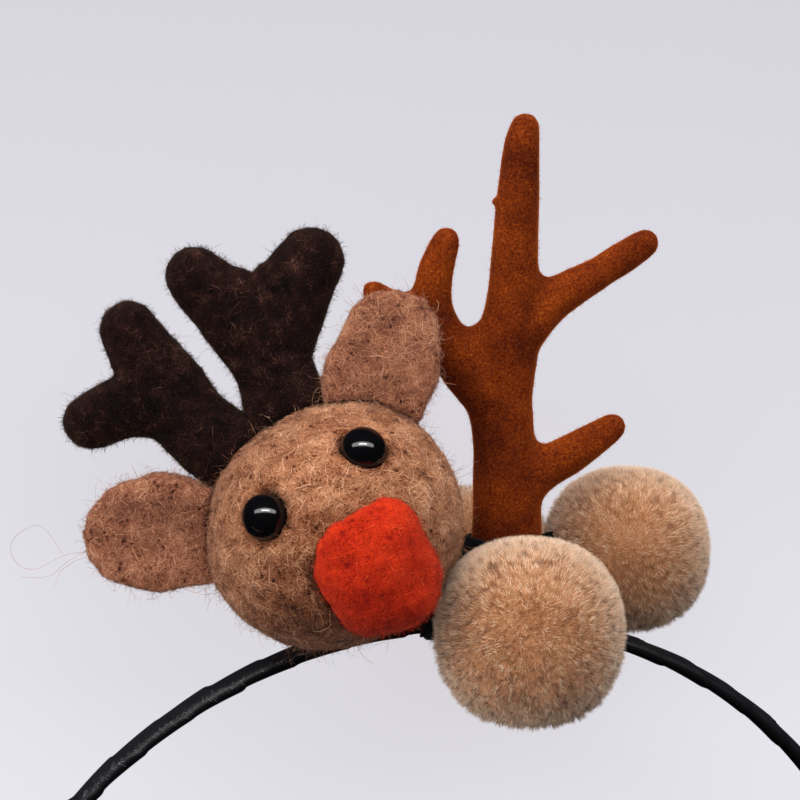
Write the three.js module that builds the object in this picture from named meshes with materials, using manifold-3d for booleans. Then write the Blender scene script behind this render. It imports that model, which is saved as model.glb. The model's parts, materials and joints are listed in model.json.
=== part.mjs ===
import * as THREE from "three";
import { mergeVertices } from "three/addons/utils/BufferGeometryUtils.js";
import { ConvexHull } from "three/addons/math/ConvexHull.js";
import Module from "manifold-3d";

// Reindeer antler headband: a ribbon-wound hoop carries a felted reindeer head, a flocked antler
// lashed to the crown with thread, and three yarn pompoms.
// It is modelled upright: x to the wearer's left as seen from the front, y to the back, z up,
// with the origin on the hoop's centreline at its crown. The last part lays it on its back.

const wasm = await Module();
wasm.setup();

// Clearance between neighbours that are glued or sewn together
const gap = 0.3;

// Hoop
const crownRadius = 70;
const crownReach = 80;
const legRadius = 110;
const legReach = 116;
const bandWide = 4.4;
const bandThick = 2.2;
const ribbonPitch = 7.8;
const ribbonStep = 0.22;
const ribbonSlant = 1.6;
const flatLong = 6;
const flatDeep = 0.3;
const flatAngle = -7.4;

// Felted head and its place on the hoop: degrees along the crown, and how far it stands forward
const headWide = 34.6;
const headTall = 31.4;
const headDeep = 32.8;
const headAngle = -10.9;
const headForward = 6.5;
const headLift = 1.2;
const seatLong = 15;
const seatThick = 6;
const seatWide = 10;
const feltLump = 0.012;
const faceTurn = 14;
const faceTilt = 12;
const faceRoll = 35;
const faceLean = 8;

// Nose, eyes, ears and felt antlers
const noseWide = 16.5;
const noseTall = 17.6;
const noseDeep = 15;
const noseDrop = 30.5;
const noseSink = 2.6;
const noseSquare = 0.065;
const noseCorner = 42;
const eyeSize = 5.6;
const eyeSink = 0.8;
const eyeSpread = 31;
const eyeRise = 24.5;
const earLong = 20;
const earWide = 14.8;
const earThick = 3.6;
const earCup = 1.6;
const earForward = 0.6;
const feltAntlerTall = 27;
const feltAntlerThick = 7;
const feltAntlerBack = 1.6;

// Flocked antler: its height over the hoop, trunk width, thickness and place on the crown
const antlerTall = 68.5;
const antlerTrunk = 10;
const antlerThick = 6.4;
const antlerAngle = 7.4;
const antlerBack = 2;

// Lashing of wound thread
const lashThick = 1.1;
const lashLong = 13;
const lashRise = 12.5;

// Pompoms
const pompomSize = 25;
const lockCount = 26;
const lockWide = 8.6;
const lockEnd = 6.4;
const lockDeep = 1.8;

// Weight of each material in kg for each cubic metre, which settles how the headband lies
const weights = { steel: 7850, felt: 300, yarn: 300, flock: 1100, bead: 1100 };

// Shares, chosen by eye, of the size that each table names

// Felt antlers, from the root, as shares of feltAntlerTall; root in shares of the head's half sizes
const feltAntlers = {
  left: {
    root: { across: 0.345, up: 0.835 },
    trunk: [
      { across: 0, up: 0, half: 0.17 },
      { across: 0.06, up: 0.28, half: 0.195 },
      { across: 0.075, up: 0.58, half: 0.195 },
      { across: 0.06, up: 0.86, half: 0.15 },
    ],
    branch: [
      { across: 0.11, up: 0.44, half: 0.16 },
      { across: 0.28, up: 0.57, half: 0.15 },
      { across: 0.46, up: 0.61, half: 0.143 },
    ],
  },
  right: {
    root: { across: 0.165, up: 0.9 },
    trunk: [
      { across: 0, up: 0, half: 0.18 },
      { across: 0.09, up: 0.27, half: 0.195 },
      { across: 0.085, up: 0.58, half: 0.195 },
      { across: 0.03, up: 0.86, half: 0.15 },
    ],
    branch: [
      { across: 0.19, up: 0.38, half: 0.19 },
      { across: 0.36, up: 0.52, half: 0.2 },
      { across: 0.53, up: 0.6, half: 0.172 },
    ],
  },
};

// Ears: root in shares of the head's half sizes, heading in degrees over the horizontal
const ears = {
  left: { across: 0.7, up: 0.38, heading: 38, long: 1 },
  right: { across: 0.68, up: 0.48, heading: 45, long: 0.88 },
};
const earSections = [
  { along: 0, half: 0.37 },
  { along: 0.25, half: 0.43 },
  { along: 0.46, half: 0.5 },
  { along: 0.66, half: 0.46 },
];

// Flocked antler: places as shares of antlerTall, half widths as shares of antlerTrunk
const tines = {
  trunk: [
    { across: -0.01, up: 0.008, half: 0.5 },
    { across: 0.005, up: 0.17, half: 0.5 },
    { across: -0.004, up: 0.36, half: 0.43 },
    { across: -0.013, up: 0.44, half: 0.46 },
    { across: 0, up: 0.53, half: 0.45 },
    { across: 0.013, up: 0.62, half: 0.37 },
    { across: 0.016, up: 0.73, half: 0.31 },
    { across: 0.022, up: 0.83, half: 0.285 },
    { across: 0.029, up: 0.94, half: 0.235 },
    { across: 0.034, up: 0.968, half: 0.195 },
  ],
  upperRight: [
    { across: 0, up: 0.53, half: 0.36 },
    { across: 0.085, up: 0.622, half: 0.29 },
    { across: 0.2, up: 0.683, half: 0.215 },
    { across: 0.287, up: 0.735, half: 0.16 },
  ],
  left: [
    { across: -0.01, up: 0.42, half: 0.4 },
    { across: -0.1, up: 0.52, half: 0.33 },
    { across: -0.145, up: 0.615, half: 0.25 },
    { across: -0.146, up: 0.69, half: 0.24 },
    { across: -0.124, up: 0.752, half: 0.19 },
  ],
  farLeft: [
    { across: -0.09, up: 0.51, half: 0.28 },
    { across: -0.15, up: 0.565, half: 0.22 },
    { across: -0.21, up: 0.615, half: 0.19 },
    { across: -0.268, up: 0.658, half: 0.16 },
  ],
  lowerRight: [
    { across: 0.01, up: 0.2, half: 0.38 },
    { across: 0.05, up: 0.265, half: 0.31 },
    { across: 0.147, up: 0.318, half: 0.265 },
    { across: 0.224, up: 0.364, half: 0.19 },
  ],
};

// Pompoms: degrees along the crown, stand-off over the hoop and place front to back,
// both as shares of pompomSize
const pompoms = {
  front: { angle: 6.3, over: 0.137, back: -0.58, wide: 1.01 },
  side: { angle: 21.3, over: 0.462, back: 0.36, wide: 0.97 },
  back: { angle: 7.1, over: 0.127, back: 0.64, wide: 0.97 },
};

const rad = THREE.MathUtils.degToRad;

// A solid from a closed geometry, with its faces turned out
function solidFrom(geometry) {
  const bare = geometry.clone();
  bare.deleteAttribute("normal");
  bare.deleteAttribute("uv");
  const merged = mergeVertices(bare, 1e-4);
  const places = merged.attributes.position.array;
  const corners = Array.from(merged.index.array);
  const kept = [];
  let volume = 0;
  const a = new THREE.Vector3();
  const b = new THREE.Vector3();
  const c = new THREE.Vector3();
  for (let i = 0; i < corners.length; i += 3) {
    const [p, q, r] = corners.slice(i, i + 3);
    if (p === q || q === r || r === p) {
      continue;
    }
    kept.push(p, q, r);
    a.fromArray(places, 3 * p);
    b.fromArray(places, 3 * q);
    c.fromArray(places, 3 * r);
    volume += a.dot(b.cross(c));
  }
  if (volume < 0) {
    kept.reverse();
  }
  const mesh = { numProp: 3, vertProperties: new Float32Array(places), triVerts: new Uint32Array(kept) };
  return new wasm.Manifold(new wasm.Mesh(mesh));
}

// The first solid joined with the others
function joined(solids) {
  return solids.reduce((whole, next) => whole.add(next));
}

// A solid with each of the others taken away
function cutBy(solid, cutters) {
  return cutters.reduce((left, cutter) => left.subtract(cutter), solid);
}

// A ball of three sizes, pushed in and out by a function of its direction
function shapedBall(wide, tall, deep, detail, lumps, grow) {
  const ball = new THREE.IcosahedronGeometry(1, detail);
  const place = ball.attributes.position;
  const direction = new THREE.Vector3();
  for (let i = 0; i < place.count; i += 1) {
    direction.fromBufferAttribute(place, i).normalize();
    const out = 1 + lumps(direction);
    place.setXYZ(
      i,
      direction.x * (out * wide / 2 + grow),
      direction.y * (out * tall / 2 + grow),
      direction.z * (out * deep / 2 + grow),
    );
  }
  return ball;
}

// A limb with round ends along a flat curve. Each row gives across, up and half width; depth gives
// half its thickness from the half width, and dish how far its edges come forward.
function limb({ rows, sides, steps, depth, dish = 0, grow = 0 }) {
  const line = new THREE.CatmullRomCurve3(
    rows.map((row) => new THREE.Vector3(row.across, row.up, row.half)),
    false,
    "centripetal",
  );
  const cap = [0, 30, 60].map(rad);
  const profile = [
    ...cap.map((turn) => new THREE.Vector2(Math.sin(turn), -Math.cos(turn))),
    ...Array.from({ length: steps + 1 }, (_, i) => new THREE.Vector2(1, i / steps)),
    ...[...cap].reverse().map((turn) => new THREE.Vector2(Math.sin(turn), 1 + Math.cos(turn))),
  ];
  const body = new THREE.LatheGeometry(profile, sides);
  const place = body.attributes.position;
  const at = new THREE.Vector3();
  const ahead = new THREE.Vector3();
  for (let i = 0; i < place.count; i += 1) {
    const along = place.getY(i);
    const share = THREE.MathUtils.clamp(along, 0, 1);
    line.getPoint(share, at);
    line.getTangent(share, ahead);
    ahead.z = 0;
    ahead.normalize();
    const half = at.z;
    const past = (along - share) * (half + grow);
    const side = place.getX(i);
    const front = place.getZ(i);
    const out = side * (half + grow);
    place.setXYZ(
      i,
      at.x + ahead.x * past + ahead.y * out,
      at.y + ahead.y * past - ahead.x * out,
      front * (depth(half) + grow) + dish * side * side,
    );
  }
  return body;
}

// Hoop

const crownLength = rad(crownReach) * crownRadius;
const hoopHalf = crownLength + rad(legReach - crownReach) * legRadius;
const turns = 2 * Math.round(hoopHalf / ribbonPitch) + 1;
const halfBand = bandThick / 2 + ribbonStep / 2;

// The place and heading of the centreline at a distance along it from the crown
function hoopLine(along) {
  const length = Math.abs(along);
  const side = Math.sign(along) || 1;
  let turn = Math.min(length, crownLength) / crownRadius;
  let across = crownRadius * Math.sin(turn);
  let up = crownRadius * (Math.cos(turn) - 1);
  if (length > crownLength) {
    const start = turn;
    turn += (length - crownLength) / legRadius;
    across += legRadius * (Math.sin(turn) - Math.sin(start));
    up += legRadius * (Math.cos(turn) - Math.cos(start));
  }
  return { across: side * across, up, turn: side * turn };
}

// A place over the crown: degrees along it, distance out from the centreline, distance back
function overCrown(angle, out, back) {
  const turn = rad(angle);
  return new THREE.Vector3(
    (crownRadius + out) * Math.sin(turn),
    back,
    (crownRadius + out) * Math.cos(turn) - crownRadius,
  );
}

// A wound band: rings along the hoop, each turn of ribbon a little fatter at its far edge
function hoopSolid(grow, from = -hoopHalf, to = hoopHalf, wound = true) {
  const ends = [
    [0, 0],
    [0.7, 0],
    [1, bandThick * 0.35],
  ];
  const profile = ends.map(([share, along]) => new THREE.Vector2(share, from + along));
  const count = wound ? turns : Math.max(2, Math.round((to - from) / ribbonPitch));
  const pitch = (to - from) / count;
  for (let i = 1; i < count; i += 1) {
    const along = from + i * pitch;
    profile.push(new THREE.Vector2(1 + (wound ? ribbonStep / bandThick : 0), along));
    if (wound) {
      profile.push(new THREE.Vector2(1 - ribbonStep / bandThick, along + ribbonStep));
    }
  }
  for (const [share, along] of [...ends].reverse()) {
    profile.push(new THREE.Vector2(share, to - along));
  }
  const band = new THREE.LatheGeometry(profile, 10, Math.PI / 10);
  const place = band.attributes.position;
  const squared = (value) => Math.sign(value) * Math.abs(value) ** 0.8;
  for (let i = 0; i < place.count; i += 1) {
    const share = Math.hypot(place.getX(i), place.getZ(i));
    const turn = Math.atan2(place.getX(i), place.getZ(i));
    const back = squared(Math.sin(turn)) * (share * bandWide / 2 + Math.min(1, share) * grow);
    const out = squared(Math.cos(turn)) * (share * bandThick / 2 + Math.min(1, share) * grow);
    const inner = Math.min(1, Math.abs(place.getY(i) - from), Math.abs(to - place.getY(i)));
    const slant = wound ? ribbonSlant * inner * out / bandWide : 0;
    const at = hoopLine(place.getY(i) + slant);
    place.setXYZ(i, at.across + out * Math.sin(at.turn), back, at.up + out * Math.cos(at.turn));
  }
  return solidFrom(band);
}

// The small flat inside the crown, beside the lashing, where the ribbon lies against the head
function flatCutter() {
  const block = new THREE.BoxGeometry(flatLong, 2 * bandWide, bandThick);
  block.rotateY(rad(flatAngle));
  block.translate(...overCrown(flatAngle, flatDeep - halfBand - bandThick / 2, 0));
  return solidFrom(block);
}

// Head and what it carries, in the head's own frame: x across, y up, z out of the face

const headOver = bandThick / 2 + headLift + headTall / 2;
const headFrame = new THREE.Matrix4()
  .makeTranslation(overCrown(headAngle, headOver, -headForward))
  .multiply(new THREE.Matrix4().makeRotationZ(-rad(faceTurn)))
  .multiply(new THREE.Matrix4().makeRotationX(rad(90 - faceTilt)))
  .multiply(new THREE.Matrix4().makeRotationZ(rad(faceRoll)));

function onHead(geometry) {
  return solidFrom(geometry.applyMatrix4(headFrame));
}

// A place at a turn and rise from the face's own axis, sunk from the head's surface
function fromFace(turn, rise, sink) {
  const away = new THREE.Vector3(
    Math.sin(rad(turn)) * Math.cos(rad(rise)),
    Math.sin(rad(rise)),
    Math.cos(rad(turn)) * Math.cos(rad(rise)),
  );
  const reach = 1 / Math.hypot(away.x * 2 / headWide, away.y * 2 / headTall, away.z * 2 / headDeep);
  return away.multiplyScalar(reach - sink);
}

function headSolid(grow = 0) {
  const lumps = (d) => feltLump * Math.sin(5 * d.x + 1) * Math.cos(4 * d.y - 2 * d.z);
  const seat = shapedBall(seatLong, seatWide, seatThick, 2, () => 0, grow);
  seat.rotateY(rad(headAngle));
  seat.translate(...overCrown(headAngle, halfBand + headLift + seatThick / 4, -headForward / 3));
  return onHead(shapedBall(headWide, headTall, headDeep, 5, lumps, grow)).add(solidFrom(seat));
}

// The nose is a felt ball pressed towards a rounded square
function noseSolid(grow = 0) {
  const lumps = (d) => {
    const corner = Math.cos(4 * (Math.atan2(d.y, d.x) - rad(noseCorner)));
    return noseSquare * corner * (d.x * d.x + d.y * d.y);
  };
  const ball = shapedBall(noseWide, noseTall, noseDeep, 4, lumps, grow);
  ball.rotateX(rad(noseDrop));
  ball.translate(...fromFace(faceLean, -noseDrop, noseSink));
  return onHead(ball);
}

function eyeSolid(side, grow = 0) {
  const bead = new THREE.SphereGeometry(eyeSize / 2 + grow, 14, 9);
  bead.translate(...fromFace(side * eyeSpread + faceLean, eyeRise, eyeSink));
  return onHead(bead);
}

function earSolid(side, ear, grow = 0) {
  const long = earLong * ear.long;
  const rows = earSections.map((row) => ({
    across: 0,
    up: row.along * long,
    half: row.half * earWide,
  }));
  const depth = () => earThick / 2;
  const paddle = limb({ rows, sides: 14, steps: 7, depth, dish: earCup, grow });
  paddle.rotateZ(-side * rad(90 - ear.heading));
  paddle.translate(side * ear.across * headWide / 2, ear.up * headTall / 2, earForward - earThick / 2);
  return onHead(paddle);
}

function feltAntlerSolid(side, antler, grow = 0) {
  const sized = (rows) => rows.map((row) => ({
    across: side * (row.across * feltAntlerTall + antler.root.across * headWide / 2),
    up: row.up * feltAntlerTall + antler.root.up * headTall / 2,
    half: row.half * feltAntlerTall,
  }));
  const depth = (half) => Math.min(half, feltAntlerThick / 2);
  const limbs = [
    limb({ rows: sized(antler.trunk), sides: 10, steps: 8, depth, grow }),
    limb({ rows: sized(antler.branch), sides: 10, steps: 5, depth, grow }),
  ];
  return joined(limbs.map((part) => onHead(part.translate(0, 0, -feltAntlerBack))));
}

// Flocked antler

function antlerSolid(grow = 0) {
  const depth = (half) => Math.min(antlerThick / 2, 0.9 * half);
  const foot = overCrown(antlerAngle, 0, antlerBack);
  const limbs = Object.values(tines).map((tine) => {
    const rows = tine.map((row) => ({
      across: row.across * antlerTall,
      up: row.up * antlerTall,
      half: row.half * antlerTrunk,
    }));
    const part = limb({ rows, sides: 9, steps: 2 * rows.length, depth, grow });
    part.rotateX(Math.PI / 2);
    part.translate(foot.x, foot.y, foot.z + halfBand);
    return solidFrom(part);
  });
  return joined(limbs);
}

// Lashing of thread round the hoop and the antler's foot

function lashingSolid(grow = 0) {
  const middle = rad(antlerAngle) * crownRadius;
  const collar = hoopSolid(lashThick + grow, middle - lashLong - grow, middle + lashLong + grow, false);
  const foot = overCrown(antlerAngle, 0, antlerBack);
  const half = antlerTrunk / 2 + lashThick + grow;
  const profile = [
    [0, -halfBand - lashThick - grow],
    [1.35, -halfBand - lashThick - grow],
    [1.75, 0],
    [1.4, 0.3 * lashRise],
    [1.15, 0.62 * lashRise],
    [1, lashRise + grow],
    [0, lashRise + grow],
  ].map(([share, up]) => new THREE.Vector2(share * half, up));
  const mound = new THREE.LatheGeometry(profile, 12);
  mound.rotateX(Math.PI / 2);
  mound.scale(1, (antlerThick / 2 + lashThick + grow) / half, 1);
  mound.translate(foot.x, foot.y / 2, foot.z);
  return collar.add(solidFrom(mound));
}

// Pompoms

function pompomPlace(row) {
  return overCrown(row.angle, row.over * pompomSize, row.back * pompomSize);
}

// The room that a neighbour leaves a pompom: a plain ball round all its locks
function pompomRoom(row) {
  const ball = new THREE.IcosahedronGeometry(row.wide * pompomSize / 2 + gap, 4);
  return solidFrom(ball.translate(...pompomPlace(row)));
}

// A pompom: a ball of trimmed yarn whose locks stand out of it, spread evenly round it
function pompomSolid(row) {
  const place = pompomPlace(row);
  const radius = row.wide * pompomSize / 2;
  const ball = new THREE.IcosahedronGeometry(radius - lockDeep / 2, 1);
  const locks = [solidFrom(ball.translate(...place))];
  const lockTop = Math.sqrt(radius * radius - lockEnd * lockEnd / 4);
  const golden = Math.PI * (3 - Math.sqrt(5));
  const upright = new THREE.Vector3(0, 1, 0);
  for (let i = 0; i < lockCount; i += 1) {
    const height = 1 - (2 * i + 1) / lockCount;
    const ring = Math.sqrt(1 - height * height);
    const away = new THREE.Vector3(ring * Math.cos(i * golden), ring * Math.sin(i * golden), height);
    const lock = new THREE.CylinderGeometry(lockEnd / 2, lockWide / 2, 2 * lockDeep, 5);
    lock.translate(0, lockTop - lockDeep, 0);
    lock.applyQuaternion(new THREE.Quaternion().setFromUnitVectors(upright, away));
    locks.push(solidFrom(lock.translate(...place)));
  }
  return joined(locks);
}

// Each piece, cut clear of the pieces it is seated on

const hoop = cutBy(hoopSolid(0), [flatCutter()]);
const hoopRoom = hoopSolid(gap);
const eyes = { left: eyeSolid(-1), right: eyeSolid(1) };
const head = cutBy(headSolid(), [hoopRoom, eyeSolid(-1, gap), eyeSolid(1, gap)]);
const headRoom = headSolid(gap);
const nose = cutBy(noseSolid(), [headRoom]);
const leftEar = cutBy(earSolid(-1, ears.left), [headRoom]);
const rightEar = cutBy(earSolid(1, ears.right), [headRoom, antlerSolid(gap)]);
const leftFelt = cutBy(feltAntlerSolid(-1, feltAntlers.left), [headRoom, earSolid(-1, ears.left, gap)]);
const rightFelt = cutBy(
  feltAntlerSolid(1, feltAntlers.right),
  [headRoom, earSolid(1, ears.right, gap), feltAntlerSolid(-1, feltAntlers.left, gap)],
);
const antler = cutBy(antlerSolid(), [hoopRoom, headRoom]);
const lashing = cutBy(lashingSolid(), [hoopRoom, antlerSolid(gap), headRoom]);
const softRoom = [hoopRoom, headRoom, noseSolid(gap), antlerSolid(gap), lashingSolid(gap)];
const frontPompom = cutBy(pompomSolid(pompoms.front), softRoom);
const sidePompom = cutBy(pompomSolid(pompoms.side), [...softRoom, pompomRoom(pompoms.front)]);
const backPompom = cutBy(pompomSolid(pompoms.back), [...softRoom, pompomRoom(pompoms.side)]);

// Materials: colour, roughness and metalness of each
const finish = (color, roughness) => new THREE.MeshStandardMaterial({ color, roughness, metalness: 0 });
const ribbon = finish("#1c1c1f", 0.5);
const thread = finish("#111113", 0.85);
const tanFelt = finish("#9a6f4c", 0.95);
const earFelt = finish("#b08a70", 0.95);
const darkFelt = finish("#2b1a14", 0.95);
const redFelt = finish("#cf3d1a", 0.95);
const bead = finish("#060607", 0.08);
const flock = finish("#8a4310", 0.9);
const yarn = finish("#b78f6b", 0.95);

const pieces = [
  { name: "hoop", solid: hoop, material: ribbon, weight: weights.steel },
  { name: "lashing", solid: lashing, material: thread, weight: weights.yarn },
  { name: "reindeer_head", solid: head, material: tanFelt, weight: weights.felt },
  { name: "nose", solid: nose, material: redFelt, weight: weights.felt },
  { name: "eye_left", solid: eyes.left, material: bead, weight: weights.bead },
  { name: "eye_right", solid: eyes.right, material: bead, weight: weights.bead },
  { name: "ear_left", solid: leftEar, material: earFelt, weight: weights.felt },
  { name: "ear_right", solid: rightEar, material: earFelt, weight: weights.felt },
  { name: "felt_antler_left", solid: leftFelt, material: darkFelt, weight: weights.felt },
  { name: "felt_antler_right", solid: rightFelt, material: darkFelt, weight: weights.felt },
  { name: "flocked_antler", solid: antler, material: flock, weight: weights.flock },
  { name: "pompom_front", solid: frontPompom, material: yarn, weight: weights.yarn },
  { name: "pompom_side", solid: sidePompom, material: yarn, weight: weights.yarn },
  { name: "pompom_back", solid: backPompom, material: yarn, weight: weights.yarn },
];

// A named mesh from a solid
function meshFrom({ name, solid, material }) {
  const found = solid.getMesh();
  const geometry = new THREE.BufferGeometry();
  geometry.setAttribute("position", new THREE.BufferAttribute(new Float32Array(found.vertProperties), 3));
  geometry.setIndex(new THREE.BufferAttribute(new Uint32Array(found.triVerts), 1));
  geometry.computeVertexNormals();
  const mesh = new THREE.Mesh(geometry, material);
  mesh.name = name;
  return mesh;
}

// The volume of a mesh's solid and its centre
function massOf(mesh) {
  const place = mesh.geometry.attributes.position;
  const corners = mesh.geometry.index.array;
  const [a, b, c] = [0, 1, 2].map(() => new THREE.Vector3());
  const centre = new THREE.Vector3();
  let volume = 0;
  for (let i = 0; i < corners.length; i += 3) {
    a.fromBufferAttribute(place, corners[i]);
    b.fromBufferAttribute(place, corners[i + 1]);
    c.fromBufferAttribute(place, corners[i + 2]);
    const part = a.dot(b.clone().cross(c)) / 6;
    volume += part;
    centre.addScaledVector(a.add(b).add(c), part / 4);
  }
  return { volume, centre: centre.divideScalar(volume) };
}

// The way that points down once the headband, let go on its back, has rolled to rest
function downward(meshes) {
  const points = [];
  const balance = new THREE.Vector3();
  let total = 0;
  meshes.forEach((mesh, i) => {
    const place = mesh.geometry.attributes.position;
    for (let j = 0; j < place.count; j += 1) {
      points.push(new THREE.Vector3().fromBufferAttribute(place, j));
    }
    const { volume, centre } = massOf(mesh);
    balance.addScaledVector(centre, volume * pieces[i].weight);
    total += volume * pieces[i].weight;
  });
  balance.divideScalar(total);
  const faces = new ConvexHull().setFromPoints(points).faces;
  const distance = (face) => face.normal.dot(face.midpoint) - face.normal.dot(balance);
  let down = new THREE.Vector3(0, 1, 0);
  for (let roll = 0; roll < faces.length; roll += 1) {
    const facing = faces.filter((face) => face.normal.dot(down) > 1e-6);
    const reach = (face) => distance(face) / face.normal.dot(down);
    const under = facing.reduce((best, face) => (reach(face) < reach(best) ? face : best));
    if (under.normal.distanceTo(down) < 1e-6) {
      break;
    }
    down = under.normal.clone();
  }
  return down;
}

// The headband laid down: face up, antlers towards +y, the middle of its box over the origin
const headband = new THREE.Group();
headband.add(...pieces.map(meshFrom));
const up = downward(headband.children).negate();
const ahead = new THREE.Vector3(0, 0, 1);
ahead.addScaledVector(up, -up.z).normalize();
const across = ahead.clone().cross(up);
headband.quaternion.setFromRotationMatrix(new THREE.Matrix4().makeBasis(across, ahead, up)).invert();

const laid = new THREE.Group();
laid.add(headband);
laid.updateMatrixWorld(true);
const extent = new THREE.Box3().setFromObject(laid, true);
const middle = extent.getCenter(new THREE.Vector3());
laid.position.set(-middle.x, -middle.y, -extent.min.z);

export default laid;
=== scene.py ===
import json
import math

import bmesh
import bpy
import numpy as np
from mathutils import Matrix, Vector, noise
from mathutils.bvhtree import BVHTree
from mathutils.kdtree import KDTree


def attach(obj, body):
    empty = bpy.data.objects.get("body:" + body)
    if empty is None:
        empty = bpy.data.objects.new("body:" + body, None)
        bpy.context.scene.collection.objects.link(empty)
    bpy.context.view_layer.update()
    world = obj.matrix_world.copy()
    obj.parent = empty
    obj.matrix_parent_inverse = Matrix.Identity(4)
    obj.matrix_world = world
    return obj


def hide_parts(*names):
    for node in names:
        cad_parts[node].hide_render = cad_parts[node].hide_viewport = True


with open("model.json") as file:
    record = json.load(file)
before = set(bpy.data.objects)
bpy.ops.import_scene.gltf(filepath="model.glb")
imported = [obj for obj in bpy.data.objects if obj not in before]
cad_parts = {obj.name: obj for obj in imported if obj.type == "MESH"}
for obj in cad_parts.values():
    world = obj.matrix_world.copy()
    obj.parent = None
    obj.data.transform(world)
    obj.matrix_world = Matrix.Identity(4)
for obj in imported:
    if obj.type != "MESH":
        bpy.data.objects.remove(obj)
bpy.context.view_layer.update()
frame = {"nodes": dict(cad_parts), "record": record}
mm = 0.001  # Blender works in metres, and the sizes below are in millimetres

# The upright frame is the headband as it is worn: x to the viewer's right, y to the back, z up,
# with its origin on the hoop's centreline at the crown. The crown's own mount says where it lies.
upright = {
    "mount": "inner_crown",
    "crownRadius": 70,  # to the centreline
    "mountBelowCentre": 0.91,  # from the hoop's centreline to the flat inside the crown
}
crownMount = next(m for m in frame["record"]["mounts"] if m["name"] == upright["mount"])
mountAxis = np.array(crownMount["axis"], float)
mountTurn = math.asin(-mountAxis[0])
uprightX = np.array((1.0, 0.0, 0.0))
uprightZ = np.array((0.0, -mountAxis[1], -mountAxis[2])) / math.cos(mountTurn)
uprightAxes = np.array((uprightX, np.cross(uprightZ, uprightX), uprightZ))


def onCrown(turn, out, back):  # a place round the crown: radians along it, mm off its centreline
    reach = upright["crownRadius"] + out
    return np.array((reach * math.sin(turn), back, reach * math.cos(turn) - upright["crownRadius"]))


crownPlace = (np.array(crownMount["pos_m"], float)
              - onCrown(mountTurn, -upright["mountBelowCentre"], 0) * mm @ uprightAxes)


def fromUpright(points):  # upright millimetres to the frame's metres
    return crownPlace + (np.asarray(points, float) * mm) @ uprightAxes


# Camera

cameraView = {
    "turn": 14,  # degrees round to the viewer's left of the hoop's front
    "tilt": 12,  # degrees above the hoop's plane
    "away": 310.4,  # mm from the crown, as are the next two
    "right": 6.06,  # how far the crown lies right of the middle of the view
    "below": 30.33,  # and how far below it
    "fieldOfView": 20,
}


def makeCamera(settings):  # gives its axes, right, up and back, for the lights and the pompoms
    turn, tilt = math.radians(settings["turn"]), math.radians(settings["tilt"])
    right = np.array((math.cos(turn), -math.sin(turn), 0))
    up = np.array((math.sin(turn) * math.sin(tilt), math.cos(turn) * math.sin(tilt), math.cos(tilt)))
    back = np.cross(right, up)
    place = back * settings["away"] - right * settings["right"] + up * settings["below"]
    data = bpy.data.cameras.new("camera")
    data.angle = math.radians(settings["fieldOfView"])
    data.clip_start = 0.01
    camera = bpy.data.objects.new("camera", data)
    bpy.context.scene.collection.objects.link(camera)
    axes = np.array((right, up, back)) @ uprightAxes
    camera.matrix_world = Matrix.Translation(fromUpright(place)) @ Matrix(axes.T.tolist()).to_4x4()
    bpy.context.scene.camera = camera
    return axes


viewAxes = makeCamera(cameraView)
print("camera made")

# Helpers for materials


def linear(hexColour):  # an sRGB hex value as Blender's linear colour
    parts = [int(hexColour[i:i + 2], 16) / 255 for i in (1, 3, 5)]
    return tuple(c / 12.92 if c <= 0.04045 else ((c + 0.055) / 1.055) ** 2.4 for c in parts) + (1.0,)


def addNode(tree, kind, inputs=None, out=0, stops=(), **settings):  # a node, its settings and inputs
    node = tree.nodes.new(kind)
    for key, value in settings.items():
        setattr(node, key, value)
    for key, value in (inputs or {}).items():
        if isinstance(value, bpy.types.NodeSocket):
            tree.links.new(value, node.inputs[key])
        else:
            node.inputs[key].default_value = value
    if stops:  # a colour ramp's places and hex colours
        elements = node.color_ramp.elements
        elements.remove(elements[1])
        elements[0].position, elements[0].color = stops[0][0], linear(stops[0][1])
        for place, colour in stops[1:]:
            elements.new(place).color = linear(colour)
    return node.outputs[out] if node.outputs else node


def newMaterial(name):
    material = bpy.data.materials.new(name)
    material.use_nodes = True
    material.node_tree.nodes.clear()
    return material, material.node_tree


def perMetre(size):  # the scale of a noise whose features are about that many millimetres
    return 1 / (size * mm)


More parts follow.
